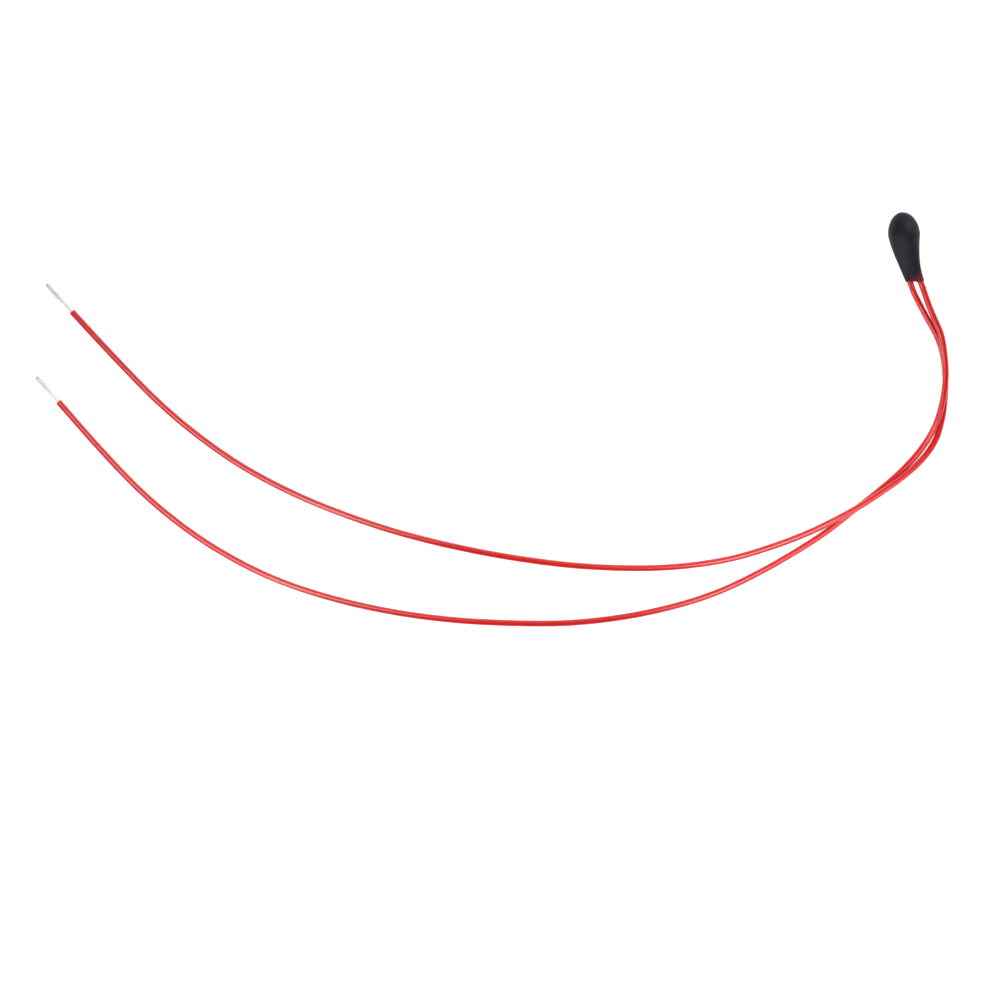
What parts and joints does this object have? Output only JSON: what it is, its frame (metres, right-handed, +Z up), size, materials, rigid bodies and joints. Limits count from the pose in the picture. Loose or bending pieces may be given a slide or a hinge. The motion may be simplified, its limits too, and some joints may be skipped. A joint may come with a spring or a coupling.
{
  "type": "bead thermistor",
  "caption": "Dark epoxy-dipped sensing bead on thin red insulated leads with tinned ends, lying in a loose curve; its resistance falls as it warms.",
  "frame": {"origin": "on the surface that the part lies on, under the middle of the epoxy bead", "axes": "+Z up; +Y along the bead to its nose; +X to the right as seen from above, away from the leads' free ends"},
  "size_m": [0.0767, 0.0348, 0.0027],
  "materials": {
    "epoxy": "satin",
    "oxide_ceramic": "matte",
    "fired_silver": "satin",
    "solder": "satin",
    "tinned_copper": "satin",
    "insulation": "gloss"
  },
  "bodies": {
    "root": {"epoxy_bead": "epoxy", "chip": "oxide_ceramic", "electrode_left": "fired_silver", "electrode_right": "fired_silver", "solder_joint_left": "solder", "solder_joint_right": "solder", "conductor_left": "tinned_copper", "conductor_right": "tinned_copper", "insulation_left": "insulation", "insulation_right": "insulation", "tinned_end_left": "solder", "tinned_end_right": "solder"}
  },
  "joints": []
}
